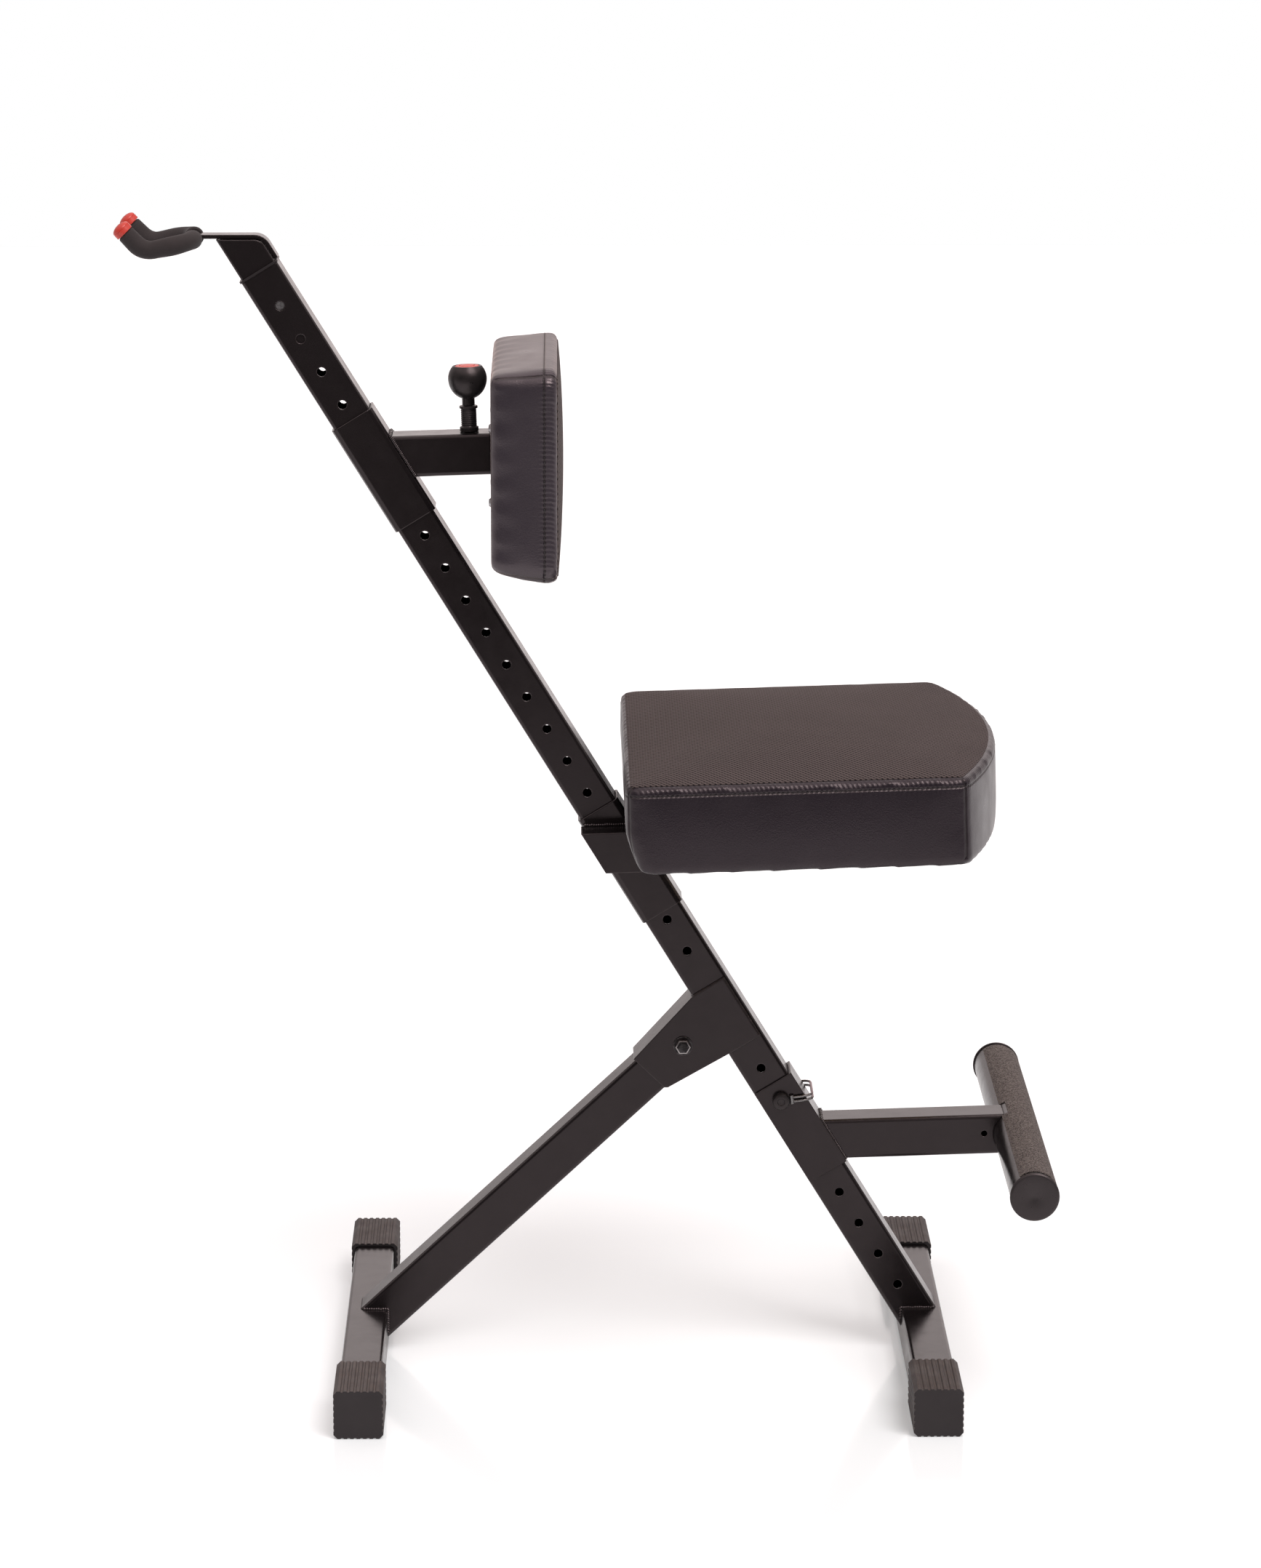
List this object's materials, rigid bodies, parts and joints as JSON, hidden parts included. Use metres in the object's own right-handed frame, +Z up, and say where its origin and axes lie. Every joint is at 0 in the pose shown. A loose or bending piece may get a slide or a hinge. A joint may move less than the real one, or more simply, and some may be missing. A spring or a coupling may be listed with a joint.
{
  "type": "guitar stool",
  "caption": "Folding guitar stool: leaning square post, hinged rear leg, sliding seat, backrest and footrest, and a forked guitar hanger.",
  "frame": {"origin": "centre of the footprint of the bounding box, on the floor", "axes": "+X to the player's front, where the footrest is; +Y to the side away from the hitch pin's head; +Z up"},
  "size_m": [0.8523, 0.5446, 1.0737],
  "materials": {
    "frame_paint": "satin black powder coat with a fine texture",
    "cap_rubber": "matt ribbed black rubber",
    "black_plastic": "moulded black nylon",
    "knob_plastic": "smooth black knob plastic",
    "red_plastic": "plain bright red plastic",
    "pad_vinyl": "soft black vinyl with a fine grain, over foam",
    "pad_mesh": "black spacer mesh with small holes",
    "yoke_foam": "soft black foam sleeve",
    "zinc_steel": "bright zinc-plated steel",
    "pad_board": "plain plywood",
    "grip_tape": "coarse anti-slip tape"
  },
  "bodies": {
    "frame": {"post": "frame_paint", "post_bushing": "black_plastic", "front_foot_bar": "frame_paint", "front_cap_near": "cap_rubber", "front_cap_far": "cap_rubber", "leg_bracket": "frame_paint", "pivot_bolt": "zinc_steel", "pivot_nut": "zinc_steel", "pivot_washer_near": "zinc_steel", "pivot_washer_far": "zinc_steel"},
    "leg": {"rear_leg": "frame_paint", "rear_foot_bar": "frame_paint", "rear_cap_near": "cap_rubber", "rear_cap_far": "cap_rubber"},
    "hanger": {"hanger_tube": "frame_paint", "hanger_strap": "frame_paint", "yoke_rod": "frame_paint", "yoke_foam_near": "yoke_foam", "yoke_foam_far": "yoke_foam", "yoke_tip_near": "red_plastic", "yoke_tip_far": "red_plastic"},
    "snap": {"snap_button": "zinc_steel"},
    "backrest_carriage": {"backrest_sleeve": "frame_paint", "backrest_arm": "frame_paint", "arm_knob_barrel": "black_plastic", "backrest_lock_barrel": "black_plastic"},
    "arm_knob": {"arm_knob_pin": "knob_plastic", "arm_knob_ball": "knob_plastic", "arm_knob_insert": "red_plastic"},
    "backrest_lock": {"backrest_lock_pin": "knob_plastic", "backrest_lock_ball": "knob_plastic", "backrest_lock_insert": "red_plastic"},
    "backrest_pad": {"insert_bar": "frame_paint", "backrest_plate": "frame_paint", "backrest_board": "pad_board", "backrest_cushion": "pad_vinyl", "backrest_panel": "pad_mesh"},
    "seat_carriage": {"seat_sleeve": "frame_paint", "seat_bracket": "frame_paint", "seat_lock_barrel": "black_plastic", "seat_board": "pad_board", "seat_cushion": "pad_vinyl", "seat_panel": "pad_mesh"},
    "seat_lock": {"seat_lock_pin": "knob_plastic", "seat_lock_ball": "knob_plastic", "seat_lock_insert": "red_plastic"},
    "footrest": {"footrest_saddle": "frame_paint", "footrest_arm": "frame_paint", "footrest_bar": "frame_paint", "footrest_grip": "grip_tape", "footrest_end_near": "black_plastic", "footrest_end_far": "black_plastic"},
    "hitch_pin": {"hitch_pin": "black_plastic", "hitch_pin_tail": "zinc_steel"},
    "hitch_wire": {"hitch_wire": "zinc_steel"}
  },
  "joints": [
    {"name": "leg_fold", "type": "hinge", "parent": "frame", "child": "leg", "pos_m": [0.09008, 0, 0.29948], "axis": [0, -1, 0], "range_deg": [0, 76]},
    {"name": "hanger_slide", "type": "slide", "parent": "frame", "child": "hanger", "axis": [-0.5235, 0, 0.852], "range_m": [0, 0.071]},
    {"name": "snap_press", "type": "slide", "parent": "hanger", "child": "snap", "axis": [0, 1, 0], "range_m": [0, 0.003], "stiffness_N_per_m": 800, "springref_m": -0.002},
    {"name": "backrest_slide", "type": "slide", "parent": "frame", "child": "backrest_carriage", "axis": [-0.5235, 0, 0.852], "range_m": [-0.1065, 0.1065]},
    {"name": "backrest_depth", "type": "slide", "parent": "backrest_carriage", "child": "backrest_pad", "axis": [0.9996, 0, 0.0297], "range_m": [0, 0.025]},
    {"name": "arm_knob_pull", "type": "slide", "parent": "backrest_carriage", "child": "arm_knob", "axis": [-0.0297, 0, 0.9996], "range_m": [0, 0.007], "stiffness_N_per_m": 900, "springref_m": -0.01},
    {"name": "backrest_lock_pull", "type": "slide", "parent": "backrest_carriage", "child": "backrest_lock", "axis": [0, 1, 0], "range_m": [0, 0.007], "stiffness_N_per_m": 900, "springref_m": -0.01},
    {"name": "seat_slide", "type": "slide", "parent": "frame", "child": "seat_carriage", "axis": [-0.5235, 0, 0.852], "range_m": [-0.071, 0.0355]},
    {"name": "seat_lock_pull", "type": "slide", "parent": "seat_carriage", "child": "seat_lock", "axis": [0, 1, 0], "range_m": [0, 0.007], "stiffness_N_per_m": 900, "springref_m": -0.01},
    {"name": "footrest_slide", "type": "slide", "parent": "frame", "child": "footrest", "axis": [-0.5235, 0, 0.852], "range_m": [-0.142, 0.0355]},
    {"name": "hitch_pull", "type": "slide", "parent": "footrest", "child": "hitch_pin", "axis": [0, -1, 0], "range_m": [0, 0.005]},
    {"name": "hitch_wire_swing", "type": "hinge", "parent": "hitch_pin", "child": "hitch_wire", "pos_m": [0.19231, -0.0243, 0.24766], "axis": [0.1219, 0, -0.9925], "range_deg": [0, 90]}
  ]
}
